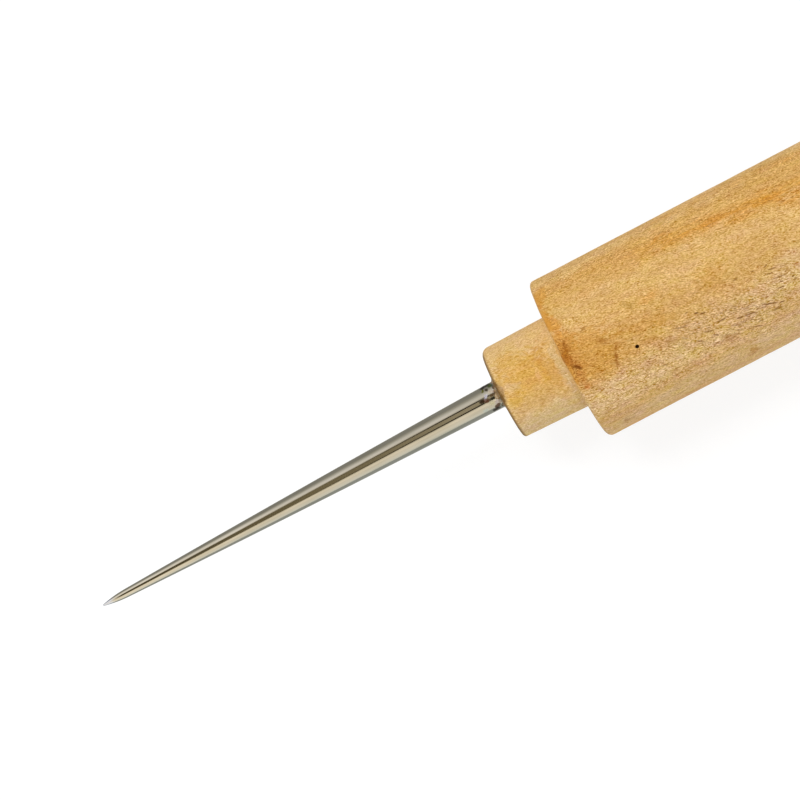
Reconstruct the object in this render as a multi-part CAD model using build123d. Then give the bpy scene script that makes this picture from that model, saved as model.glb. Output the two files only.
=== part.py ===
from build123d import *
from math import radians, tan
import os

# A needle tool for clay, in millimetres. A tapered steel needle is glued into the stepped nose of a
# round wooden handle. The tool lies on its barrel: X runs along the handle, the needle points to -X,
# the butt faces +X and +Z is up. The origin is halfway along the tool, on the surface that it lies on.

# Handle: one turned piece of hardwood
handle_length = 100.8
handle_diameter = 15.0
shoulder_edge_radius = 0.6
butt_edge_radius = 0.9
nose_length = 6.45
nose_root_diameter = 8.66
nose_front_diameter = 8.44
nose_edge_radius = 0.48
seam_angle = 90.0

# Needle: one piece of steel wire, ground to a long full taper with a short steeper point
needle_diameter = 2.52
exposed_length = 39.2
taper_fullness = 0.08
point_length = 2.4
point_base_diameter = 0.79
point_half_angle = 13.5
tip_radius = 0.07
tang_length = 24.0
tang_end_chamfer = 0.3

# How the needle sits: its hole was drilled slightly off the handle's axis, in the XY plane
hole_lean_angle = 0.61
hole_mouth_offset = 0.207

# Hole and the glue that fills it
glue_film = 0.15
glue_under_tang = 0.6
drill_point_angle = 118.0
collar_width = 0.32
collar_height = 0.26
drill_overrun = 3.0

# Places that follow from the sizes above, along X from the middle of the whole tool
overall_length = exposed_length + handle_length
tip_x = -overall_length / 2
nose_x = tip_x + exposed_length
shoulder_x = nose_x + nose_length
butt_x = overall_length / 2
axis_height = handle_diameter / 2
needle_radius = needle_diameter / 2
hole_radius = needle_radius + glue_film

# The needle, its hole and its glue share one frame: the origin is the middle of the hole's mouth,
# local X points up the needle towards its tip
hole_mouth = Location((nose_x, hole_mouth_offset, 0), (0, 0, 180 + hole_lean_angle))
to_resting_height = Location((0, 0, axis_height))


def turned(outline):
    """The solid that an outline in the XY plane, closed along the X axis, sweeps round that axis."""
    return revolve(make_face(outline), axis=Axis.X)


def handle_blank():
    """The turned handle before its hole is drilled, with the seam of its round faces on top."""
    corners = [
        (nose_x, 0),
        (nose_x, nose_front_diameter / 2),
        (shoulder_x, nose_root_diameter / 2),
        (shoulder_x, handle_diameter / 2),
        (butt_x, handle_diameter / 2),
        (butt_x, 0),
    ]
    corner_radii = [0, nose_edge_radius, 0, shoulder_edge_radius, butt_edge_radius, 0]
    blank = turned(FilletPolyline(*corners, radius=corner_radii, close=True).edges())
    return Location((0, 0, 0), (seam_angle, 0, 0)) * blank


def drilled_hole():
    """What the drill takes out: a straight hole with a cone at its bottom, run past the mouth."""
    straight_depth = tang_length + glue_under_tang
    cone_depth = hole_radius / tan(radians(drill_point_angle / 2))
    outline = Polyline(
        (drill_overrun, 0),
        (drill_overrun, hole_radius),
        (-straight_depth, hole_radius),
        (-straight_depth - cone_depth, 0),
        close=True,
    )
    return hole_mouth * turned(outline.edges())


def needle():
    """The whole needle: round tip, curved point, long full taper, and the plain tang in the hole."""
    point_base = (exposed_length - point_length, point_base_diameter / 2)
    tip_round = CenterArc((exposed_length - tip_radius, 0), tip_radius, 0, 90 - point_half_angle)
    point = TangentArc(tip_round @ 1, point_base, tangent=tip_round % 1)
    taper = SagittaArc((0, needle_radius), point_base, taper_fullness)
    tang = Polyline(
        (0, needle_radius),
        (tang_end_chamfer - tang_length, needle_radius),
        (-tang_length, needle_radius - tang_end_chamfer),
        (-tang_length, 0),
        tip_round @ 0,
    )
    outline = [tip_round, point, taper] + tang.edges()
    return hole_mouth * turned(outline)


def glue_collar():
    """The glue that was squeezed out round the needle, a low cone on the nose's face."""
    middle = Location((nose_x, hole_mouth_offset, 0))
    outline = Polyline(
        (0, 0),
        (0, hole_radius + collar_width),
        (-collar_height, hole_radius),
        (-collar_height, 0),
        close=True,
    )
    return middle * turned(outline.edges())


whole_needle = needle()
hole = drilled_hole()
blank = handle_blank()

nodes = {
    "handle": blank - hole,
    "needle": whole_needle,
    "adhesive": (blank & hole) + glue_collar() - whole_needle,
}

os.makedirs("parts", exist_ok=True)
for name, solid in nodes.items():
    export_step(to_resting_height * solid, f"parts/{name}.step")
    print(name, round(solid.volume, 2), "mm3")
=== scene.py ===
from math import cos, pi, radians, sin, sqrt, tan

import bmesh
import bpy
from mathutils import Matrix, Vector


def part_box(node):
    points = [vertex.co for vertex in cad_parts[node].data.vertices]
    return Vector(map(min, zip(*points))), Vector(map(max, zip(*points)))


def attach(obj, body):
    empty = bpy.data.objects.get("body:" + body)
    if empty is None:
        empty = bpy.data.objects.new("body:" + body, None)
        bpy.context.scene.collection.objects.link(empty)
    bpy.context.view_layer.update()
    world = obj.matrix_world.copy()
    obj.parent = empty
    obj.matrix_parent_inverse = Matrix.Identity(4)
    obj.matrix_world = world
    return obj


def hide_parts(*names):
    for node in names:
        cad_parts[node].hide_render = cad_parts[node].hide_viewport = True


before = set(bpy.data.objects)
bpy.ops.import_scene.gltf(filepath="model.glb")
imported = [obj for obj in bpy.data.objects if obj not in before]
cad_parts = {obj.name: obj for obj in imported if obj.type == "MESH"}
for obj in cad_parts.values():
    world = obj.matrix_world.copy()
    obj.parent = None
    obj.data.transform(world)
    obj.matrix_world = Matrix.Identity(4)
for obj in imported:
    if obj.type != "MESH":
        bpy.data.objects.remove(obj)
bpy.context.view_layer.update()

# Handle: one piece of pale beech, turned to a plain round barrel with a narrower nose, its edges
# eased with sandpaper, and left bare. The needle's hole is drilled a little off its axis and leans
# with it. Fine flecks run slantwise down the barrel, and two growth rings come up along its sides.
mm = 0.001
handle_low, handle_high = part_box("handle")
nose_x = handle_low.x
butt_x = handle_high.x
axis_height = (handle_low.z + handle_high.z) / 2
barrel_radius = (handle_high.z - handle_low.z) / 2
nose_length = 6.45 * mm
nose_root_radius = 4.33 * mm
nose_front_radius = 4.22 * mm
shoulder_x = nose_x + nose_length
hole_radius = 1.41 * mm
hole_depth = 24.6 * mm
drill_cone = hole_radius / tan(radians(59))
hole_lean = radians(0.61)
mouth = Vector((nose_x, 0.207 * mm, axis_height))
into_the_wood = Vector((cos(hole_lean), sin(hole_lean), 0))
widest_bevel = 1.3 * mm
butt_bevel = 0.9 * mm
shoulder_bevel = 0.72 * mm
shoulder_bevel_slant = 0.14 * mm
shoulder_bevel_sides = 0.13 * mm
nose_bevel = 0.85 * mm
nose_bevel_slant = 0.42 * mm
nose_front_shift = 0.04 * mm
mouth_bevel = 0.05 * mm
close = 0.01 * mm
around_handle = 192
butt_rings = 13
butt_ring = 0.5 * mm
barrel_cuts = 210
nose_cuts = 20
shoulder_cuts = 9
nose_face_cuts = 8


def edit(piece):
    """Opens one piece for editing, with nothing selected on it."""
    bpy.ops.object.select_all(action="DESELECT")
    piece.select_set(True)
    bpy.context.view_layer.objects.active = piece
    bpy.ops.object.mode_set(mode="EDIT")
    bpy.ops.mesh.select_all(action="DESELECT")


def select(part, test):
    """Selects the "verts", "edges" or "faces" of the mesh being edited for which test is true."""
    mesh = bpy.context.edit_object.data
    shape = bmesh.from_edit_mesh(mesh)
    bpy.ops.mesh.select_mode(type=part[:-1].upper())
    bpy.ops.mesh.select_all(action="DESELECT")
    for element in getattr(shape, part):
        if test(element):
            element.select_set(True)
    bmesh.update_edit_mesh(mesh)


def push(way, scale=1.0, about=None):
    """Extrudes the selected face by the vector way, then scales the new end about a point."""
    bpy.ops.mesh.extrude_region_move(TRANSFORM_OT_translate={"value": way})
    if scale != 1.0:
        bpy.ops.transform.resize(value=(scale, scale, scale), center_override=about)


bpy.ops.object.select_all(action="DESELECT")
bpy.ops.mesh.primitive_cylinder_add(
    vertices=around_handle,
    radius=barrel_radius,
    depth=butt_x - shoulder_x,
    end_fill_type="NGON",
    location=((shoulder_x + butt_x) / 2, 0, axis_height),
    rotation=(0, pi / 2, 0),
)
turned_handle = bpy.context.object
turned_handle.name = "turned_handle"
bpy.ops.object.transform_apply(location=True, rotation=True, scale=True)

# Nose and its hole, grown out of and into the front end of the barrel
edit(turned_handle)
select("faces", lambda face: face.normal.x < -0.9)
bpy.ops.mesh.inset(thickness=barrel_radius - nose_root_radius)
nose_end = Vector((nose_x, 0, axis_height))
push((-nose_length, nose_front_shift, 0), nose_front_radius / nose_root_radius, nose_end)
bpy.ops.mesh.inset(thickness=nose_front_radius - hole_radius)
bpy.ops.transform.translate(value=mouth - nose_end - Vector((0, nose_front_shift, 0)))
push(into_the_wood * hole_depth)
push(into_the_wood * drill_cone)
bpy.ops.mesh.merge(type="CENTER")

# Butt: rings of faces from the rim to the middle
select("faces", lambda face: face.normal.x > 0.9)
for ring in range(butt_rings):
    bpy.ops.mesh.inset(thickness=butt_ring)
bpy.ops.mesh.poke()
bpy.ops.object.mode_set(mode="OBJECT")

# Eased edges: each edge's weight is its radius as a share of the widest
edge_ease = turned_handle.data.attributes.new("bevel_weight_edge", "FLOAT", "EDGE")
for edge in turned_handle.data.edges:
    ends = [turned_handle.data.vertices[i].co for i in edge.vertices]
    middle = (ends[0] + ends[1]) / 2
    from_axis = Vector((middle.y, middle.z - axis_height)).length
    if abs(ends[0].x - ends[1].x) > close:
        continue
    if abs(middle.x - butt_x) < close and from_axis > barrel_radius - 0.1 * mm:
        edge_ease.data[edge.index].value = butt_bevel / widest_bevel
    if abs(middle.x - shoulder_x) < close and from_axis > barrel_radius - 0.1 * mm:
        towards_left = middle.y / barrel_radius
        wear = shoulder_bevel_sides * towards_left**2 - shoulder_bevel_slant * towards_left
        edge_ease.data[edge.index].value = (shoulder_bevel + wear) / widest_bevel
    if abs(middle.x - nose_x) < close and abs(from_axis - nose_front_radius) < 0.1 * mm:
        towards_left = middle.y / nose_front_radius
        edge_ease.data[edge.index].value = (nose_bevel + nose_bevel_slant * towards_left) / widest_bevel
    if abs(middle.x - nose_x) < close and from_axis < hole_radius + 0.3 * mm:
        edge_ease.data[edge.index].value = mouth_bevel / widest_bevel
bevel = turned_handle.modifiers.new("eased edges", "BEVEL")
bevel.limit_method = "WEIGHT"
bevel.width = widest_bevel
bevel.segments = 5
bpy.ops.object.modifier_apply(modifier=bevel.name)


# Rings of faces along the barrel, the nose and across both front faces
def is_between(edge, low_x, high_x):
    """Tells whether an edge runs along the handle, from one of these places to the other."""
    reach = 1.1 * mm
    xs = sorted(vert.co.x for vert in edge.verts)
    return abs(xs[0] - low_x) < reach and abs(xs[1] - high_x) < reach


def is_spoke(edge, face_x, least_length):
    """Tells whether an edge runs outwards across the flat face at this place."""
    apart = edge.verts[0].co - edge.verts[1].co
    outwards = edge.verts[0].co - Vector((face_x, 0, axis_height))
    return (
        abs(edge.verts[0].co.x - face_x) < 2 * close
        and abs(apart.x) < close
        and apart.length > least_length
        and abs(apart.normalized().dot(outwards.normalized())) > 0.8
    )


edit(turned_handle)
select("edges", lambda edge: is_between(edge, shoulder_x, butt_x))
bpy.ops.mesh.subdivide_edgering(number_cuts=barrel_cuts, interpolation="LINEAR", smoothness=0)
select("edges", lambda edge: is_between(edge, nose_x, shoulder_x) and edge.calc_length() > 3 * mm)
bpy.ops.mesh.subdivide_edgering(number_cuts=nose_cuts, interpolation="LINEAR", smoothness=0)
select("edges", lambda edge: is_spoke(edge, shoulder_x, 1.5 * mm))
bpy.ops.mesh.subdivide_edgering(number_cuts=shoulder_cuts, interpolation="LINEAR", smoothness=0)
select("edges", lambda edge: is_spoke(edge, nose_x, 1.2 * mm))
bpy.ops.mesh.subdivide_edgering(number_cuts=nose_face_cuts, interpolation="LINEAR", smoothness=0)

# Wormhole: one small round hole in the barrel. Its place, and the places of the marks further down,
# are in mm past the shoulder and across Y, on the surface of the barrel or of the nose.
barrel_surface = 7.5
nose_surface = 4.28
pin_out = 6.23
pin_y = -1.64
pin_z = sqrt(barrel_surface**2 - pin_y**2)
pin_place = Vector((shoulder_x + pin_out * mm, pin_y * mm, axis_height + pin_z * mm))
pin_radius = 0.11 * mm
pin_depth = 1.1 * mm
shape = bmesh.from_edit_mesh(turned_handle.data)
nearest = min(shape.verts, key=lambda vert: (vert.co - pin_place).length)
select("verts", lambda vert: vert == nearest)
bpy.ops.transform.translate(value=pin_place - nearest.co)
pin_way = (Vector((pin_place.x, 0, axis_height)) - pin_place).normalized()
select("verts", lambda vert: (vert.co - pin_place).length < 0.001 * mm)
bpy.ops.mesh.bevel(affect="VERTICES", offset=pin_radius, segments=3, profile=0.8)
select("faces", lambda face: (face.calc_center_median() - pin_place).length < 0.05 * mm)
push(pin_way * pin_depth * 0.5)
push(pin_way * pin_depth * 0.5, 0.6, pin_place + pin_way * pin_depth)
bpy.ops.object.mode_set(mode="OBJECT")


# Hand-sanded unevenness: broad low flats and a finer ripple, both only inwards
def dent(piece, depth, size):
    """Lowers the surface by up to this depth, in soft dents about this size across."""
    pattern = bpy.data.textures.new(f"{piece.name} dents", "CLOUDS")
    pattern.noise_scale = size
    dents = piece.modifiers.new("dents", "DISPLACE")
    dents.texture = pattern
    dents.texture_coords = "LOCAL"
    dents.strength = depth
    dents.mid_level = 1.0
    bpy.context.view_layer.objects.active = piece
    bpy.ops.object.modifier_apply(modifier=dents.name)


dent(turned_handle, 0.04 * mm, 5 * mm)
dent(turned_handle, 0.02 * mm, 0.8 * mm)
bpy.ops.object.select_all(action="DESELECT")
turned_handle.select_set(True)
bpy.ops.object.shade_smooth_by_angle(angle=radians(35))


class Tone:
    """A socket of the material being made, whose sums and products add Math nodes."""

    def __init__(self, tree, source=None):
        self.tree = tree
        self.source = source

    def node(self, kind, settings=None, sockets=None, output=0):
        """Adds a node of this kind with its settings, then its sockets' values or links."""
        made = self.tree.nodes.new(kind)
        for name, setting in (settings or {}).items():
            if name == "stops":
                while len(made.color_ramp.elements) < len(setting):
                    made.color_ramp.elements.new(0.5)
                for stop, (place, colour) in zip(made.color_ramp.elements, setting):
                    stop.position = place
                    stop.color = (*colour, 1)
            else:
                setattr(made, name, setting)
        for name, value in (sockets or {}).items():
            if isinstance(value, Tone):
                self.tree.links.new(value.source, made.inputs[name])
            elif made.inputs[name].type == "RGBA":
                made.inputs[name].default_value = (*value, 1)
            else:
                made.inputs[name].default_value = value
        return Tone(self.tree, made.outputs[output] if made.outputs else None)

    def maths(self, operation, *values):
        return self.node("ShaderNodeMath", {"operation": operation}, dict(enumerate(values)))

    def __add__(self, other):
        return self.maths("ADD", self, other)

    __radd__ = __add__

    def __sub__(self, other):
        return self.maths("SUBTRACT", self, other)

    def __rsub__(self, other):
        return self.maths("SUBTRACT", other, self)

    def __mul__(self, other):
        return self.maths("MULTIPLY", self, other)

    __rmul__ = __mul__

    def rise(self, low, high):
        """Goes smoothly from 0 where this is low to 1 where it is high."""
        ends = {"Value": self, "From Min": low, "From Max": high}
        return self.node("ShaderNodeMapRange", {"interpolation_type": "SMOOTHSTEP"}, ends)

    def noise(self, place, scale, detail=2.0, roughness=0.5, distortion=0.0):
        """Cloudy noise at a place, about 0.5 on average."""
        sockets = {
            "Vector": place,
            "Scale": scale,
            "Detail": detail,
            "Roughness": roughness,
            "Distortion": distortion,
        }
        return self.node("ShaderNodeTexNoise", {}, sockets)

    def stretched(self, place, size, turn=(0, 0, 0), centre=(0, 0, 0)):
        """A place measured from a centre, along turned axes, in units of a size along each."""
        sockets = {"Vector": place, "Location": centre, "Rotation": turn, "Scale": size}
        return self.node("ShaderNodeMapping", {"vector_type": "TEXTURE"}, sockets)

    def length(self, place):
        return self.node("ShaderNodeVectorMath", {"operation": "LENGTH"}, {0: place}, "Value")

    def blend(self, share, under, over, kind="MIX"):
        """Lays the colour over on the colour under, by a share."""
        settings = {"data_type": "RGBA", "blend_type": kind}
        return self.node("ShaderNodeMix", settings, {0: share, 6: under, 7: over}, 2)


def new_material(name):
    """A named material and the Tone that makes its nodes."""
    material = bpy.data.materials.new(name)
    material.use_nodes = True
    material.node_tree.nodes.clear()
    return material, Tone(material.node_tree)


def finish_material(tone, shader):
    tone.node("ShaderNodeOutputMaterial", {}, {"Surface": shader}, None)


bare_beech, wood = new_material("bare beech")

along = wood.stretched(
    wood.node("ShaderNodeTexCoord", {}, {}, "Object"), (mm, mm, mm), centre=(0, 0, axis_height)
)


def ruffled(tone, place, size, reach):
    """A place moved about by cloudy noise of this size, at most by half the reach."""
    cloud = tone.node("ShaderNodeTexNoise", {}, {"Vector": place, "Scale": 1 / size}, "Color")
    half = (0.5, 0.5, 0.5)
    either_way = tone.node("ShaderNodeVectorMath", {"operation": "SUBTRACT"}, {0: cloud, 1: half})
    sockets = {0: either_way, 1: (reach, reach, reach), 2: place}
    return tone.node("ShaderNodeVectorMath", {"operation": "MULTIPLY_ADD"}, sockets)


ragged = ruffled(wood, ruffled(wood, along, 1.6, 1.6), 0.3, 0.35)
grain_turn = (0, 0, radians(-12))
grain = wood.stretched(ruffled(wood, along, 1.2, 0.5), (1, 1, 1), grain_turn)
ragged_x, from_left = [
    wood.node("ShaderNodeSeparateXYZ", {}, {"Vector": ragged}, way) for way in "XY"
]
from_shoulder = ragged_x - shoulder_x / mm

# Colour of the sound wood, from broad clouds down to single fibres. All patterns are in mm.
sapwood = (0.67, 0.43, 0.168)
heartwood = (0.60, 0.35, 0.108)
# Paler, greyer tint for the painted sheen on the lower side
painted_sheen_tint = (0.665, 0.44, 0.20)
broad = wood.noise(wood.stretched(along, (9, 3.5, 3.5), grain_turn), 1.0, 3.0)
patchy = wood.noise(wood.stretched(grain, (2.2, 0.9, 0.9)), 1.0, 3.0, 0.55)
tinge = wood.noise(wood.stretched(grain, (1.8, 0.8, 0.8), centre=(9, 2, 4)), 1.0, 3.0, 0.65)
fibres = wood.noise(wood.stretched(grain, (0.6, 0.11, 0.11)), 1.0, 1.0, 0.5)
wavy = ruffled(wood, along, 3.0, 0.6)
long_fibres = wood.noise(wood.stretched(wavy, (3.5, 0.14, 0.14)), 1.0, 2.0, 0.6)
flecks = wood.noise(wood.stretched(grain, (0.75, 0.095, 0.095), centre=(3, 8, 5)), 1.0, 1.0)
grit_turn = (0, 0, radians(-4))
grit = wood.noise(wood.stretched(grain, (0.2, 0.075, 0.075), grit_turn), 1.0, 1.0, 0.5, 0.6)
middle_strip = wood.maths("ABSOLUTE", from_left + 1.3).rise(3.6, 1.0)
sides = wood.maths("ABSOLUTE", from_left).rise(4.3, 6.2)
barrel = from_shoulder.rise(-0.2, 0.0)
lower_side = (from_left - from_shoulder.rise(15, 22) * 2.2).rise(-1.5, -4.0)
colour = wood.blend((broad * 0.6 + patchy * 0.5).rise(0.38, 0.75), sapwood, heartwood)
colour = wood.blend(middle_strip * 0.6, colour, heartwood)
# Painted sheen: a paler, greyer tint over the lower side of the barrel
colour = wood.blend(lower_side * 0.85, colour, painted_sheen_tint)
upper_band = from_left.rise(3.9, 4.8) * from_left.rise(6.9, 6.3)
colour = wood.blend(upper_band * 0.55, colour, (0.585, 0.315, 0.075))
nose_colour = wood.blend(patchy.rise(0.3, 0.7), (0.67, 0.455, 0.20), (0.66, 0.42, 0.165))
# Painted sheen: the nose's lower side is paler
nose_colour = wood.blend(from_left.rise(-2.3, -3.0), nose_colour, (0.67, 0.475, 0.225))
colour = wood.blend(barrel, nose_colour, colour)

# Growth rings: layers of darker late wood, which rise slowly towards the butt and are counted from
# well below the handle
ring_gap = 3.2
ring_slope = 0.092
first_ring = 4.05
rings_below = 20
lowest_ring = first_ring - rings_below * ring_gap
wandering = ruffled(wood, ruffled(wood, along, 3.5, 1.1), 0.6, 0.3)
ring_x, ring_y, ring_z = [
    wood.node("ShaderNodeSeparateXYZ", {}, {"Vector": wandering}, way) for way in "XYZ"
]
past_shoulder = ring_x - shoulder_x / mm
layer = (ring_z - past_shoulder * ring_slope - lowest_ring) * (1 / ring_gap)
to_ring = wood.maths("PINGPONG", layer, 0.5)
streaks = wood.noise(wood.stretched(along, (4, 0.4, 0.4)), 1.0, 3.0, 0.6)
left_ring = ring_y.rise(-2, 2) * (0.25 + past_shoulder.rise(7, 14) * 0.75)
left_ring = left_ring * (1 - ring_y.rise(6.2, 7.2) * 0.55)
right_ring = ring_y.rise(2, -2) * (0.5 - past_shoulder.rise(8, 18) * 0.2)
ring_share = (0.35 + streaks.rise(0.35, 0.6) * 0.65) * (left_ring + right_ring) * barrel
in_ring = to_ring.rise(0.30, 0.0) * ring_share * patchy.rise(0.25, 0.6)
colour = wood.blend(in_ring, colour, (0.58, 0.25, 0.028))

# Stains and marks, and three rows of painted light and shade on the nose, in mm and degrees: place
# past the shoulder and across Y, half length, half width, turn, colour and strength
marks = [
    (2.64, -0.35, 3.3, 3.0, 0, (0.58, 0.29, 0.062), 0.85),
    (1.05, 0.54, 1.1, 3.3, 0, (0.56, 0.26, 0.052), 0.85),
    (0.62, -0.1, 0.6, 3.0, 0, (0.46, 0.175, 0.026), 0.85),
    (0.66, -0.92, 0.38, 0.55, 20, (0.19, 0.055, 0.003), 1.0),
    (0.6, 0.64, 0.4, 0.6, 0, (0.36, 0.13, 0.01), 0.9),
    (0.70, 1.33, 0.4, 0.55, 0, (0.42, 0.17, 0.025), 0.8),
    (0.83, -2.13, 0.6, 0.9, 0, (0.50, 0.22, 0.045), 0.75),
    (0.97, -2.78, 0.4, 0.4, 0, (0.58, 0.23, 0.06), 0.75),
    (0.55, 3.30, 0.6, 2.0, 0, (0.57, 0.255, 0.04), 0.8),
    (0.70, 6.10, 0.6, 1.2, 0, (0.57, 0.27, 0.045), 0.8),
    (3.97, 0.15, 0.6, 0.5, 0, (0.42, 0.18, 0.03), 0.85),
    (4.61, -0.84, 0.42, 0.7, -20, (0.46, 0.21, 0.04), 0.85),
    (4.20, -1.63, 0.42, 0.65, -25, (0.42, 0.175, 0.035), 0.85),
    (4.02, -2.20, 0.42, 0.5, -10, (0.37, 0.15, 0.025), 0.9),
    (2.67, 1.70, 0.55, 0.35, 0, (0.42, 0.21, 0.05), 0.8),
    (7.32, 1.89, 0.5, 0.3, 0, (0.42, 0.23, 0.06), 0.7),
    (9.05, 1.73, 1.2, 0.7, -10, (0.62, 0.31, 0.075), 0.6),
    (7.78, -0.24, 3.8, 1.0, -4, (0.57, 0.29, 0.065), 0.65),
    (14.59, 0.55, 2.0, 1.9, 0, (0.57, 0.305, 0.075), 0.65),
    (11.9, 5.72, 1.6, 0.35, -4, (0.58, 0.26, 0.035), 0.6),
    (7.96, -2.02, 1.8, 0.6, -30, (0.50, 0.24, 0.065), 0.7),
    (8.99, -2.55, 0.6, 0.45, 0, (0.36, 0.175, 0.045), 0.75),
    (6.34, -3.58, 0.8, 0.5, 0, (0.48, 0.26, 0.085), 0.6),
    (11.31, -2.51, 0.8, 1.3, 0, (0.52, 0.29, 0.10), 0.5),
    (9.0, -2.3, 6.5, 0.6, 0, (0.66, 0.40, 0.155), 0.5),
    (15.26, -3.00, 8.0, 2.6, -4, (0.64, 0.405, 0.19), 0.5),
    (18.69, -3.99, 2.5, 0.8, 0, (0.55, 0.33, 0.125), 0.5),
    (2.26, -6.79, 0.7, 0.6, 0, (0.42, 0.22, 0.07), 0.75),
    (14.70, -6.60, 0.9, 0.6, 0, (0.50, 0.25, 0.06), 0.75),
    (13.53, -4.59, 1.0, 0.5, 0, (0.44, 0.22, 0.06), 0.65),
    (8.35, -5.30, 3.2, 0.6, 6, (0.60, 0.36, 0.13), 0.6),
    (-3.15, 0.3, 3.9, 2.9, 0, (0.60, 0.335, 0.072), 0.9),
    (-4.70, 2.2, 1.6, 1.3, 0, (0.62, 0.36, 0.09), 0.7),
    # Painted shadow along the nose, a little below its middle
    (-3.50, -1.65, 3.2, 1.1, 0, (0.59, 0.36, 0.12), 0.85),
    (-5.20, -1.0, 1.2, 0.8, 0, (0.60, 0.35, 0.075), 0.6),
    (-5.10, 0.2, 0.9, 0.6, 0, (0.62, 0.41, 0.175), 0.8),
    (-4.36, 1.41, 1.8, 0.4, -20, (0.69, 0.42, 0.14), 0.5),
    (-2.80, -0.08, 0.3, 1.4, 0, (0.70, 0.41, 0.15), 0.7),
    (-1.66, 0.6, 0.9, 2.2, 0, (0.56, 0.285, 0.048), 0.75),
    (-1.11, -0.97, 0.8, 1.0, 0, (0.55, 0.29, 0.085), 0.65),
    (-5.40, -1.17, 0.7, 0.5, 0, (0.56, 0.32, 0.06), 0.7),
    # Painted shade round the nose just in front of the shoulder
    (-1.30, -0.1, 0.6, 3.8, 0, (0.55, 0.315, 0.085), 0.7),
    # Painted light: a pale band where the nose meets the shoulder
    (-0.48, -0.2, 0.48, 4.2, 0, (0.60, 0.43, 0.22), 0.8),
    (-6.03, 0.17, 0.35, 1.5, 0, (0.36, 0.22, 0.09), 0.8),
]
frayed = wood.noise(wood.stretched(grain, (0.5, 0.35, 0.35)), 1.0, 3.0, 0.6)
for out, mark_y, long, wide, turn, mark_colour, strength in marks:
    surface = barrel_surface if out > -0.3 else nose_surface
    spot = (shoulder_x / mm + out, mark_y, sqrt(surface**2 - mark_y**2))
    size = (long, wide, wide * 1.2 + 0.4)
    inside = wood.stretched(ragged, size, (0, 0, radians(turn)), spot)
    share = (wood.length(inside) + (frayed - 0.5) * 1.5).rise(1.0, 0.3) * strength
    colour = wood.blend(share, colour, mark_colour)

# Checks: thin short cracks on the lower side. Each has its place past the shoulder and across Y,
# half length, turn and strength.
checks = [
    (13.63, -2.96, 0.50, -3, 0.8),
    (15.13, -3.52, 0.36, 0, 0.85),
    (16.10, -3.66, 0.62, -10, 0.9),
    (17.92, -3.63, 0.66, -17, 0.95),
    (19.43, -2.80, 0.38, 0, 0.95),
    (19.43, -1.04, 0.36, -12, 0.7),
    (12.52, -1.69, 0.27, -12, 1.0),
    (12.01, -1.47, 0.20, -20, 1.0),
    (18.90, -3.95, 0.22, 0, 0.95),
    (10.30, -1.90, 0.62, -12, 0.65),
    (18.30, -4.28, 0.55, -4, 0.75),
    (19.07, -1.34, 0.34, 0, 0.65),
    (19.70, -1.95, 0.62, -4, 0.7),
    (19.70, -2.40, 0.16, -20, 0.8),
    (20.80, -2.42, 0.14, 0, 0.85),
    (20.85, -2.72, 0.22, 0, 0.55),
    (16.80, -2.63, 0.13, 0, 0.75),
    (16.05, -4.85, 0.50, -20, 0.6),
    (16.50, -4.58, 0.26, -14, 0.7),
    (19.10, -0.60, 0.20, 20, 0.6),
    (17.90, -0.50, 0.18, 0, 0.65),
    (16.30, -0.45, 0.22, 10, 0.65),
    (14.60, -3.92, 0.22, -10, 0.7),
    (12.30, -3.34, 0.45, -14, 0.7),
    (11.16, -3.73, 0.30, -28, 0.7),
    (12.60, -3.87, 0.24, -28, 0.8),
    (10.17, -2.91, 0.32, -26, 0.65),
    (7.50, -4.14, 0.30, -6, 0.6),
    (11.30, -1.05, 0.16, 0, 0.7),
]
check_width = 0.066
check_depth = 0.5
cracked = ruffled(wood, along, 0.45, 0.22)
for out, check_y, long, turn, strength in checks:
    spot = (shoulder_x / mm + out, check_y, sqrt(barrel_surface**2 - check_y**2))
    size = (long, check_width, check_depth)
    inside = wood.stretched(cracked, size, (0, 0, radians(turn)), spot)
    share = wood.length(inside).rise(1.3, 0.6) * strength
    colour = wood.blend(share, colour, (0.19, 0.075, 0.016))

# Torn grain: thin wavy dark lines on the lower side of the barrel
torn_middle = (shoulder_x / mm + 14.2, -3.5, 6.5)
torn_place = wood.stretched(ragged, (6.5, 2.2, 3.0), (0, 0, radians(-3)), torn_middle)
torn_share = wood.length(torn_place).rise(1.0, 0.4)
torn = wood.noise(wood.stretched(grain, (1.3, 0.28, 0.6)), 1.0, 2.0, 0.5, 1.2)
torn_lines = wood.maths("ABSOLUTE", torn - 0.5).rise(0.035, 0.0)
torn_lines = torn_lines * torn_share * patchy.rise(0.36, 0.5)
colour = wood.blend(torn_lines * 0.9, colour, (0.26, 0.125, 0.035))

# Flecks and fibres: short dark dashes, and a tinge that wanders from rosy to yellow. The grain is
# coarser on the barrel than on the nose, most of all on its lower side, left edge and left ring.
coarse_side = from_left.rise(1.0, -3.0) * from_left.rise(-6.2, -5.0)
coarse_edge = from_left.rise(4.5, 6.8)
coarse_ring = to_ring.rise(0.38, 0.1) * left_ring
coarser = 0.175 + coarse_side * 0.31 + coarse_edge * 0.26 + coarse_ring * 0.2
coarseness = 0.57 + barrel * coarser
dark_fleck = flecks.rise(0.58, 0.70) * coarseness
colour = wood.blend(dark_fleck * 0.64, colour, (0.36, 0.18, 0.04))
fine = (grit - 0.5) * 1.9 + (fibres - 0.5) * 0.55 + (long_fibres - 0.5) * (0.1 + sides * 0.65)
fine = fine * coarseness
# Painted shade: the strip down the middle of the barrel is a little darker
shade = 1 - middle_strip * barrel * 0.065
warm = (tinge - 0.5) * (0.6 + lower_side * 0.45)
blotch = patchy - 0.5
light = wood.node(
    "ShaderNodeCombineColor",
    {},
    {
        "Red": shade + fine + blotch * 0.1,
        "Green": shade + fine * 1.42 + blotch * 0.3 - warm * 0.2,
        "Blue": shade + fine * 2.5 + blotch * 0.7 + warm,
    },
)
colour = wood.blend(1.0, colour, light, "MULTIPLY")
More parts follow.
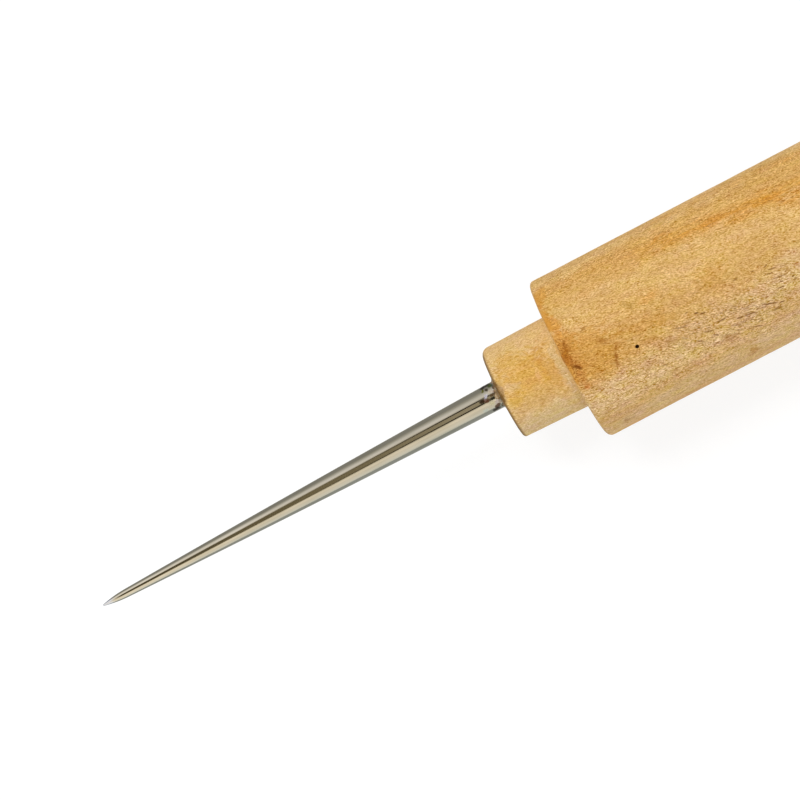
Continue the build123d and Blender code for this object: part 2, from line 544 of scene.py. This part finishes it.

# Edges: a pale line along the shoulder's rim is a painted highlight, with a stain behind it, and the
# nose's front rim is darker with grime and with painted shade where it turns away from the light
true_x = wood.node("ShaderNodeSeparateXYZ", {}, {"Vector": along}, "X") - shoulder_x / mm
# Painted highlight: a thin pale line on the rounded edge of the shoulder's rim
painted_rim_highlight = true_x.rise(0.14, 0.03) * true_x.rise(-0.5, 0.0)
colour = wood.blend(painted_rim_highlight * 0.6, colour, (0.72, 0.47, 0.19))
off_face = true_x.rise(0.05, 0.2)
stained_rim = true_x.rise(0.75, 0.25) * off_face * from_left.rise(-3.0, -2.0) * from_left.rise(7.0, 5.8)
colour = wood.blend(stained_rim * patchy.rise(0.25, 0.5) * 0.7, colour, (0.58, 0.26, 0.035))
colour = wood.blend(stained_rim * frayed.rise(0.56, 0.66) * 0.6, colour, (0.38, 0.12, 0.012))
stain_heart = (shoulder_x / mm + 0.28, 0.3, 7.4)
from_stain = wood.length(wood.stretched(ragged, (0.5, 0.85, 1.5), centre=stain_heart))
colour = wood.blend(from_stain.rise(1.15, 0.5) * 0.8, colour, (0.40, 0.135, 0.01))
speckled_rim = true_x.rise(1.4, 0.6) * off_face * from_left.rise(-2.7, -1.6) * from_left.rise(2.6, 1.6)
colour = wood.blend(grit.rise(0.49, 0.38) * speckled_rim * 0.8, colour, (0.24, 0.075, 0.006))
true_y, true_z = [wood.node("ShaderNodeSeparateXYZ", {}, {"Vector": along}, way) for way in "YZ"]
from_axis = wood.length(wood.node("ShaderNodeCombineXYZ", {}, {"Y": true_y, "Z": true_z}))
near_hole = from_left.rise(-1.1, -0.5) * from_left.rise(1.3, 0.8)
# Grime and painted shade: grimy patches near the hole, and the outer front edge of the nose darkened
# all round as painted shade where it turns from the light
grime_and_shade_rim = true_x.rise(-5.85, -6.3) * near_hole * frayed.rise(0.4, 0.55) * 0.7
grime_and_shade_rim = grime_and_shade_rim + true_x.rise(-6.08, -6.33) * 0.85
colour = wood.blend(grime_and_shade_rim * from_axis.rise(3.0, 3.5), colour, (0.17, 0.09, 0.022))

# End grain: browner than the sides, with every growth ring and fine rays across them, and glue
# soaked in round the needle's hole
butt_face = true_x.rise(93.7, 94.2)
nose_face = true_x.rise(-6.38, -6.42) * from_axis.rise(3.5, 3.0)
end_grain = wood.maths("MAXIMUM", butt_face, nose_face)
rays = wood.noise(wood.stretched(along, (2, 0.16, 1.8), (radians(8), 0, 0)), 1.0, 2.0, 0.6)
end_colour = wood.blend(to_ring.rise(0.22, 0.0) * 0.8, (0.52, 0.31, 0.11), (0.36, 0.17, 0.035))
end_colour = wood.blend(rays.rise(0.52, 0.66) * 0.5, end_colour, (0.66, 0.45, 0.20))
end_colour = wood.blend(flecks.rise(0.56, 0.68) * 0.5, end_colour, (0.26, 0.13, 0.04))
soaked = wood.length(wood.stretched(ragged, (3, 2.3, 2.3), centre=(nose_x / mm, 0.2, 0)))
end_colour = wood.blend(soaked.rise(1.1, 0.75) * 0.6, end_colour, (0.20, 0.11, 0.04))
colour = wood.blend(end_grain, colour, end_colour)

# Wormhole: its near-black inside is painted shade, and it is metallic there only so that no pale gloss
# lies over the dark
pin_mm = ((pin_place - Vector((0, 0, axis_height))) / mm)[:]
in_pinhole = wood.length(wood.stretched(along, (1.15, 1, 1), centre=pin_mm)).rise(0.2, 0.11)
colour = wood.blend(in_pinhole, colour, (0.012, 0.002, 0.0))

height = fibres * 0.4 + grit * 0.8 - dark_fleck * 0.5 - torn_lines * 0.8
bump = wood.node("ShaderNodeBump", {}, {"Strength": 0.14, "Distance": 0.05 * mm, "Height": height})
wood_sockets = {
    "Base Color": colour,
    "Roughness": 0.52 + fibres * 0.16 + in_pinhole * 0.3,
    "Metallic": in_pinhole,
    "IOR": 1.45,
    "Specular IOR Level": 0.2,
    "Normal": bump,
}
finish_material(wood, wood.node("ShaderNodeBsdfPrincipled", {}, wood_sockets))
turned_handle.data.materials.clear()
turned_handle.data.materials.append(bare_beech)
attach(turned_handle, "root")
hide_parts("handle")

# Needle: one piece of hard steel wire, ground to a long full taper and a short steeper point and
# polished along its length. Its plain tang is glued 24 mm deep in the handle.
needle_radius = 1.26 * mm
exposed_length = 39.2 * mm
point_length = 2.4 * mm
point_base_radius = 0.395 * mm
taper_fullness = 0.08 * mm
tip_radius = 0.07 * mm
tang_length = 24 * mm
tang_chamfer = 0.3 * mm
tang_rings = 6
taper_rings = 44
point_rings = 14
tip_angles = (30, 50, 70)
around_needle = 96
bpy.ops.object.select_all(action="DESELECT")
bpy.ops.mesh.primitive_circle_add(
    vertices=around_needle,
    radius=needle_radius - tang_chamfer,
    fill_type="NGON",
    location=(-tang_length, 0, 0),
    rotation=(0, pi / 2, 0),
)
ground_needle = bpy.context.object
ground_needle.name = "ground_needle"
bpy.ops.object.transform_apply(location=True, rotation=True, scale=True)
edit(ground_needle)
bpy.ops.mesh.select_all(action="SELECT")


def drawn(stations, start):
    """Extrudes the selected round end along X, through the stations' places and radii."""
    at, radius = start
    for next_at, next_radius in stations:
        push((next_at - at, 0, 0), next_radius / radius, (next_at, 0, 0))
        at, radius = next_at, next_radius


taper_length = exposed_length - point_length
tang_start = tang_chamfer - tang_length
stations = [(tang_start, needle_radius)]
for step in range(1, tang_rings + 1):
    stations.append((tang_start - tang_start * step / tang_rings, needle_radius))
for step in range(1, taper_rings + 1):
    share = step / taper_rings
    straight = needle_radius + (point_base_radius - needle_radius) * share
    stations.append((taper_length * share, straight + taper_fullness * 4 * share * (1 - share)))
point_run = point_length - tip_radius
slope_at_base = 0.031
slope_at_tip = tan(radians(13.5))
for step in range(1, point_rings + 1):
    run = point_run * step / point_rings
    fall = slope_at_base * run + (slope_at_tip - slope_at_base) * run**2 / (2 * point_run)
    stations.append((taper_length + run, point_base_radius - fall))
for angle in tip_angles:
    place = exposed_length - tip_radius + tip_radius * sin(radians(angle))
    stations.append((place, tip_radius * cos(radians(angle))))
drawn(stations, (-tang_length, needle_radius - tang_chamfer))
push((tip_radius * (1 - sin(radians(tip_angles[-1]))), 0, 0))
bpy.ops.mesh.merge(type="CENTER")
bpy.ops.mesh.select_all(action="SELECT")
bpy.ops.mesh.normals_make_consistent(inside=False)
bpy.ops.object.mode_set(mode="OBJECT")
ground_needle.location = mouth
ground_needle.rotation_euler = (0, 0, pi + hole_lean)
bpy.ops.object.transform_apply(location=True, rotation=True, scale=True)
bpy.ops.object.shade_smooth_by_angle(angle=radians(30))

polished_steel, steel = new_material("polished steel")
needle_turn = (0, 0, hole_lean)
down_needle = steel.stretched(
    steel.node("ShaderNodeTexCoord", {}, {}, "Object"), (mm, mm, mm), needle_turn, mouth
)
marks_along = steel.noise(steel.stretched(down_needle, (9, 0.06, 0.06)), 1.0, 3.0, 0.6)
marks_across = steel.noise(steel.stretched(down_needle, (0.12, 0.5, 0.5)), 1.0, 3.0, 0.6)
smears = steel.noise(steel.stretched(down_needle, (4, 0.5, 0.5)), 1.0, 2.0)
steel_colour = steel.blend(smears.rise(0.35, 0.7), (0.57, 0.56, 0.53), (0.51, 0.50, 0.46))
to_tip = steel.node("ShaderNodeSeparateXYZ", {}, {"Vector": down_needle}, "X")
# Painted highlight: the very tip turns pale blue-white
steel_colour = steel.blend(to_tip.rise(-37.9, -38.6), steel_colour, (0.58, 0.63, 0.78))

# Pale dust and dark grime on top of the needle's root: place out of the mouth and across it, half
# length, half width, turn and colour
root_surface = 1.25
dusty = [
    (1.22, 0.36, 0.20, 0.11, 60, (0.42, 0.40, 0.50)),
    (1.42, 0.14, 0.14, 0.11, 60, (0.28, 0.27, 0.38)),
    (0.72, 0.52, 0.24, 0.12, -20, (0.46, 0.38, 0.28)),
    (0.40, 0.36, 0.16, 0.16, 0, (0.38, 0.28, 0.24)),
    (1.02, -0.42, 0.30, 0.16, 0, (0.44, 0.40, 0.22)),
    (0.58, -0.50, 0.20, 0.18, 0, (0.42, 0.35, 0.32)),
    (0.36, -0.92, 0.16, 0.12, 0, (0.32, 0.37, 0.29)),
    (1.85, -0.74, 0.26, 0.12, 0, (0.42, 0.47, 0.40)),
]
grimy = [
    (0.98, 0.80, 0.13, 0.13, 0, (0.08, 0.055, 0.035)),
    (1.30, 0.90, 0.20, 0.09, 60, (0.20, 0.20, 0.03)),
    (0.95, 1.13, 0.50, 0.14, 0, (0.04, 0.03, 0.04)),
    (0.55, 1.00, 0.22, 0.16, 0, (0.13, 0.18, 0.05)),
    (0.28, 0.90, 0.20, 0.16, 0, (0.16, 0.20, 0.18)),
    (0.42, 0.16, 0.16, 0.14, 0, (0.03, 0.012, 0.008)),
    (0.70, 0.20, 0.20, 0.11, 0, (0.16, 0.10, 0.045)),
    (0.66, -0.07, 0.44, 0.11, 0, (0.006, 0.008, 0.0)),
    (0.36, -0.16, 0.16, 0.16, 0, (0.01, 0.045, 0.015)),
    (1.45, 0.00, 0.34, 0.17, -25, (0.16, 0.085, 0.06)),
    (1.78, 0.08, 0.20, 0.13, 0, (0.06, 0.035, 0.02)),
    (1.30, -0.10, 0.22, 0.07, 0, (0.20, 0.09, 0.06)),
    (0.70, -0.84, 0.32, 0.15, 20, (0.11, 0.06, 0.045)),
    (0.95, -1.06, 0.38, 0.12, 0, (0.05, 0.035, 0.03)),
    (0.25, -1.00, 0.20, 0.14, 0, (0.05, 0.06, 0.03)),
]
smudged = ruffled(steel, ruffled(steel, down_needle, 0.3, 0.25), 0.08, 0.09)


def smudge(out, grime_y, long, wide, turn):
    """1 in a small smudge on top of the needle, fading to 0 outside it."""
    spot = (-out, grime_y, sqrt(root_surface**2 - grime_y**2))
    inside = steel.stretched(smudged, (long, wide, wide + 0.3), (0, 0, radians(turn)), spot)
    return steel.length(inside).rise(1.35, 0.7)


dust = 0
for out, grime_y, long, wide, turn, grime_colour in dusty:
    share = smudge(out, grime_y, long, wide, turn) * 0.75
    steel_colour = steel.blend(share, steel_colour, grime_colour)
    dust = steel.maths("MAXIMUM", dust, share)
dullness = dust
for out, grime_y, long, wide, turn, grime_colour in grimy:
    share = smudge(out, grime_y, long, wide, turn) * 0.92
    steel_colour = steel.blend(share, steel_colour, grime_colour)
    dullness = steel.maths("MAXIMUM", dullness, share)
steel_height = marks_along * 0.6 + marks_across * 0.15 + dullness * 0.5
steel_bump = steel.node(
    "ShaderNodeBump", {}, {"Strength": 0.12, "Distance": 0.01 * mm, "Height": steel_height}
)
steel_sockets = {
    "Base Color": steel_colour,
    "Metallic": 1 - dust,
    "Roughness": 0.08 + smears * 0.06 + dullness * 0.3,
    "Normal": steel_bump,
}
finish_material(steel, steel.node("ShaderNodeBsdfPrincipled", {}, steel_sockets))
ground_needle.data.materials.clear()
ground_needle.data.materials.append(polished_steel)
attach(ground_needle, "root")
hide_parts("needle")

# Glue: amber resin that fills the hole round the tang. A thin collar of it was squeezed out at the
# mouth, and dull crumbs of glue and clay dust cling to the root of the needle.
plug_gap = 0.01 * mm
collar_base_radius = 1.72 * mm
collar_top_radius = 1.36 * mm
collar_height = 0.26 * mm
bpy.ops.object.select_all(action="DESELECT")
bpy.ops.mesh.primitive_circle_add(
    vertices=around_needle,
    radius=hole_radius - plug_gap,
    fill_type="NGON",
    location=(-hole_depth, 0, 0),
    rotation=(0, pi / 2, 0),
)
glue_collar = bpy.context.object
glue_collar.name = "glue_collar"
bpy.ops.object.transform_apply(location=True, rotation=True, scale=True)
edit(glue_collar)
bpy.ops.mesh.select_all(action="SELECT")
glue_stations = [
    (0, hole_radius - plug_gap),
    (0.002 * mm, collar_base_radius),
    (collar_height * 0.35, collar_base_radius - 0.1 * mm),
    (collar_height, collar_top_radius),
]
drawn(glue_stations, (-hole_depth, hole_radius - plug_gap))
bpy.ops.mesh.inset(thickness=collar_top_radius - needle_radius - 0.003 * mm)
push((-tang_length - collar_height, 0, 0))
select(
    "faces",
    lambda face: face.normal.x < -0.9 and face.calc_center_median().x < 0.1 * mm - hole_depth,
)
push((-drill_cone * 0.98, 0, 0))
bpy.ops.mesh.merge(type="CENTER")
bpy.ops.mesh.select_all(action="SELECT")
bpy.ops.mesh.normals_make_consistent(inside=False)
bpy.ops.object.mode_set(mode="OBJECT")
glue_collar.location = mouth
glue_collar.rotation_euler = (0, 0, pi + hole_lean)
bpy.ops.object.transform_apply(location=True, rotation=True, scale=True)

# Crumbs on the needle, which tapers under them: distance from the mouth, angle from the top towards
# -Y, and size along and across
needle_taper = 0.66
crumb_thickness = 0.07 * mm
crumb_roughness = 0.16 * mm
crumbs = [
    (0.24, -34, 0.20, 0.24),
    (0.18, -68, 0.16, 0.24),
    (0.30, -14, 0.24, 0.26),
    (0.34, 6, 0.26, 0.26),
    (0.26, 24, 0.22, 0.24),
    (0.16, 52, 0.18, 0.24),
    (0.50, -6, 0.12, 0.10),
    (0.3, 120, 0.3, 0.3),
    (0.3, -130, 0.3, 0.3),
    (0.35, 180, 0.3, 0.3),
]
for out, angle, long, wide in crumbs:
    here = needle_radius * (1 - out * mm / exposed_length * needle_taper)
    around = Vector((0, -sin(radians(angle)), cos(radians(angle))))
    bpy.ops.object.select_all(action="DESELECT")
    bpy.ops.mesh.primitive_ico_sphere_add(
        subdivisions=3,
        radius=1.0,
        location=mouth - into_the_wood * out * mm + around * here,
        rotation=(radians(angle), 0, 0),
        scale=(long * mm, wide * mm, crumb_thickness),
    )
    crumb = bpy.context.object
    bpy.ops.object.transform_apply(location=True, rotation=True, scale=True)
    rough = bpy.data.textures.new("crumb", "CLOUDS")
    rough.noise_scale = crumb_roughness
    lumps = crumb.modifiers.new("lumps", "DISPLACE")
    lumps.texture = rough
    lumps.texture_coords = "LOCAL"
    lumps.strength = crumb_roughness
    bpy.ops.object.modifier_apply(modifier=lumps.name)
    glue_collar.select_set(True)
    bpy.context.view_layer.objects.active = glue_collar
    bpy.ops.object.join()
bpy.ops.object.shade_smooth_by_angle(angle=radians(40))

cured_resin, resin = new_material("cured resin and dust")
at_root = resin.stretched(
    resin.node("ShaderNodeTexCoord", {}, {}, "Object"), (mm, mm, mm), (0, 0, hole_lean), mouth
)
resin_dust = resin.noise(at_root, 3.2, 2.0, 0.6)
grey_dust = resin.noise(resin.stretched(at_root, (1, 1, 1), centre=(7, 3, 1)), 2.6, 1.0)
resin_colour = resin.node(
    "ShaderNodeValToRGB",
    {
        "stops": [
            (0.30, (0.055, 0.035, 0.018)),
            (0.42, (0.16, 0.10, 0.045)),
            (0.52, (0.26, 0.165, 0.08)),
            (0.62, (0.34, 0.24, 0.13)),
            (0.72, (0.48, 0.40, 0.27)),
        ]
    },
    {"Fac": resin_dust},
    "Color",
)
resin_colour = resin.blend(grey_dust.rise(0.57, 0.68) * 0.5, resin_colour, (0.38, 0.37, 0.33))
resin_bump = resin.node(
    "ShaderNodeBump",
    {},
    {"Strength": 0.5, "Distance": 0.05 * mm, "Height": resin.noise(at_root, 9.0, 3.0)},
)
resin_sockets = {
    "Base Color": resin_colour,
    "Roughness": 0.35 + resin_dust * 0.3,
    "IOR": 1.5,
    "Normal": resin_bump,
}
finish_material(resin, resin.node("ShaderNodeBsdfPrincipled", {}, resin_sockets))
glue_collar.data.materials.clear()
glue_collar.data.materials.append(cured_resin)
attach(glue_collar, "root")
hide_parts("adhesive")

# Floor: a plain pale sheet just below the tool. It is white to the camera and in reflections, and
# a small lit share of it keeps the tool's faint shadow.
floor_drop = 0.02 * mm
bpy.ops.object.select_all(action="DESELECT")
bpy.ops.mesh.primitive_plane_add(size=8, location=(0, 0, -floor_drop))
pale_floor = bpy.context.object
pale_floor.name = "pale_floor"
floor_material, floor = new_material("pale floor")


def seen(tone):
    """1 for rays from the camera and for rays that gloss or glass sends on, else 0."""
    kinds = ("Camera", "Glossy", "Transmission")
    rays = [tone.node("ShaderNodeLightPath", {}, {}, f"Is {kind} Ray") for kind in kinds]
    return tone.maths("MAXIMUM", tone.maths("MAXIMUM", rays[0], rays[1]), rays[2])


plain = floor.node("ShaderNodeBsdfDiffuse", {}, {"Color": (0.78, 0.78, 0.78)})
lit = floor.node("ShaderNodeBsdfDiffuse", {}, {"Color": (0.22, 0.22, 0.22)})
floor_place = floor.node("ShaderNodeTexCoord", {}, {}, "Object")
near_glow = (0.82, 0.82, 0.82)
glow_colour = floor.blend(floor.length(floor_place).rise(0.2, 0.7), near_glow, (1, 1, 1))
glow = floor.node("ShaderNodeEmission", {}, {"Color": glow_colour, "Strength": 1.0})
white = floor.node("ShaderNodeAddShader", {}, {0: lit, 1: glow})
finish_material(floor, floor.node("ShaderNodeMixShader", {}, {0: seen(floor), 1: plain, 2: white}))
pale_floor.data.materials.append(floor_material)

# Studio: an even room that is seen as white and lights with a soft grey, and two square lamps
# that give the handle its light and shade
room = bpy.data.worlds.new("studio")
bpy.context.scene.world = room
room.use_nodes = True
room.node_tree.nodes.clear()
sky = Tone(room.node_tree)
sky_level = 0.36
level = sky_level + seen(sky) * (1 - sky_level)
background = sky.node("ShaderNodeBackground", {}, {"Color": (1, 1, 1), "Strength": level})
sky.node("ShaderNodeOutputWorld", {}, {"Surface": background}, None)


def soft_lamp(name, place, size, power):
    """A square lamp aimed at the tool, which lights it and isn't seen in its gloss."""
    lamp_data = bpy.data.lights.new(name, "AREA")
    lamp_data.shape = "SQUARE"
    lamp_data.size = size
    lamp_data.energy = power
    lamp = bpy.data.objects.new(name, lamp_data)
    bpy.context.scene.collection.objects.link(lamp)
    lamp.location = place
    towards_tool = Vector((0, 0, axis_height)) - Vector(place)
    lamp.rotation_euler = towards_tool.to_track_quat("-Z", "Y").to_euler()
    lamp.visible_glossy = False


soft_lamp("key lamp", (-0.1, 0.5, 0.8), 0.5, 6.7)
soft_lamp("fill lamp", (0.0, -0.7, 0.5), 0.6, 3.0)

# Light tent: a white cloth tunnel over the tool, which only the polished needle mirrors. Its two lit
# sides fade towards the table, and a dark slot for the camera runs along its top.
tent_radius = 0.5
tent_length = 2.4
bpy.ops.object.select_all(action="DESELECT")
bpy.ops.mesh.primitive_cylinder_add(
    vertices=96,
    radius=tent_radius,
    depth=tent_length,
    end_fill_type="NOTHING",
    location=(0, 0, axis_height),
    rotation=(0, pi / 2, 0),
)
light_tent = bpy.context.object
light_tent.name = "light_tent"
bpy.ops.object.transform_apply(location=True, rotation=True, scale=True)
tent_cloth, cloth = new_material("tent cloth")
tent_place = cloth.stretched(
    cloth.node("ShaderNodeTexCoord", {}, {}, "Object"), (1, 1, 1), centre=(0, 0, axis_height)
)
tent_x, tent_y, tent_z = [
    cloth.node("ShaderNodeSeparateXYZ", {}, {"Vector": tent_place}, way) for way in "XYZ"
]
tent_angle = cloth.maths("ARCTAN2", -1 * tent_y, tent_z) * (180 / pi)
brightest = 1.25
tent_bands = [
    (-90, (0.36, 0.34, 0.27)),
    (-74, (0.55, 0.51, 0.42)),
    (-60, (0.80, 0.755, 0.66)),
    (-47, (0.97, 0.90, 0.79)),
    (-36, (0.92, 0.84, 0.72)),
    (17, (0.88, 0.76, 0.54)),
    (25, (1.05, 0.93, 0.70)),
    (35, (1.20, 1.05, 0.80)),
    (46, (1.02, 0.91, 0.71)),
    (72, (1.03, 0.96, 0.78)),
    (90, (0.88, 0.87, 0.75)),
]
stops = [((angle + 90) / 180, [part / brightest for part in tint]) for angle, tint in tent_bands]
across_tent = (tent_angle + 90) * (1 / 180)
bands = cloth.node("ShaderNodeValToRGB", {"stops": stops}, {"Fac": across_tent}, "Color")
near_tip = tent_x.rise(-0.12, -0.165)
slot_edge = 19 - near_tip * 6
slot_turn = tent_angle - near_tip * 6
in_slot = slot_turn.rise(-37, -26) * (slot_edge - tent_angle).rise(-2, 2) * tent_x.rise(-0.3, -0.22)
slot_colour = cloth.blend(tent_x.rise(-0.155, -0.13), (0.06, 0.045, 0.02), (0.19, 0.15, 0.075))
slot_colour = cloth.blend(tent_x.rise(-0.115, -0.09), slot_colour, (0.40, 0.33, 0.21))
past_slot_edge = cloth.maths("ABSOLUTE", tent_angle + 6) - 17
slot_rim = past_slot_edge.rise(-5, -1) * past_slot_edge.rise(10, 5) * tent_x.rise(-0.115, -0.1)
slot_colour = cloth.blend(slot_rim, slot_colour, (0.0, 0.0, 0.0))
tent_colour = cloth.blend(in_slot, bands, slot_colour)
tent_level = brightest + near_tip * tent_angle.rise(-85, -60) * (0.3 + tent_angle.rise(-10, -30) * 0.2)
brightening = {0: tent_colour, "Scale": tent_level}
glowing_cloth = cloth.node("ShaderNodeVectorMath", {"operation": "SCALE"}, brightening)
finish_material(cloth, cloth.node("ShaderNodeEmission", {}, {"Color": glowing_cloth, "Strength": 1.0}))
light_tent.data.materials.append(tent_cloth)


def only_mirrored(piece):
    """Leaves a staged piece to be seen in gloss alone."""
    for way in ("camera", "diffuse", "transmission", "volume_scatter", "shadow"):
        setattr(piece, f"visible_{way}", False)


only_mirrored(light_tent)

# Grey tables: two flat boards just above the floor, one on each side of the tool. Only the polished
# needle mirrors them, which darkens its two edges.
table_width = 0.49
table_rise = 0.01 * mm
table_tints = {1: (0.34, 0.325, 0.275), -1: (0.42, 0.43, 0.385)}
for side, tint in table_tints.items():
    bpy.ops.object.select_all(action="DESELECT")
    bpy.ops.mesh.primitive_plane_add(size=1, location=(0, side * tent_radius / 2, table_rise))
    grey_table = bpy.context.object
    grey_table.name = "grey_table_left" if side > 0 else "grey_table_right"
    bpy.ops.transform.resize(value=(tent_length, table_width, 1), center_override=grey_table.location)
    bpy.ops.object.transform_apply(location=True, rotation=True, scale=True)
    table_grey, grey = new_material(grey_table.name.replace("_", " "))
    finish_material(grey, grey.node("ShaderNodeEmission", {}, {"Color": tint, "Strength": 1.0}))
    grey_table.data.materials.append(table_grey)
    only_mirrored(grey_table)

# Camera: a long lens high above the tool, a few degrees off the square view and turned in the frame
# so that the tool lies slantwise across it
lens_data = bpy.data.cameras.new("camera")
lens_data.sensor_width = 36
lens_data.lens = 400
camera = bpy.data.objects.new("camera", lens_data)
bpy.context.scene.collection.objects.link(camera)
bpy.context.scene.camera = camera
view_width = 69.0 * mm
view_middle = Vector((-38.87 * mm, 3.67 * mm, axis_height))
camera_tilt = radians(5.0)
camera_roll = radians(27.55)
camera_away = view_width * lens_data.lens / lens_data.sensor_width
camera.matrix_world = (
    Matrix.Translation(view_middle)
    @ Matrix.Rotation(camera_tilt, 4, "Y")
    @ Matrix.Rotation(-camera_roll, 4, "Z")
    @ Matrix.Translation((0, 0, camera_away))
)
lens_data.clip_start = 0.01
lens_data.clip_end = 20
bpy.context.scene.view_settings.view_transform = "Standard"
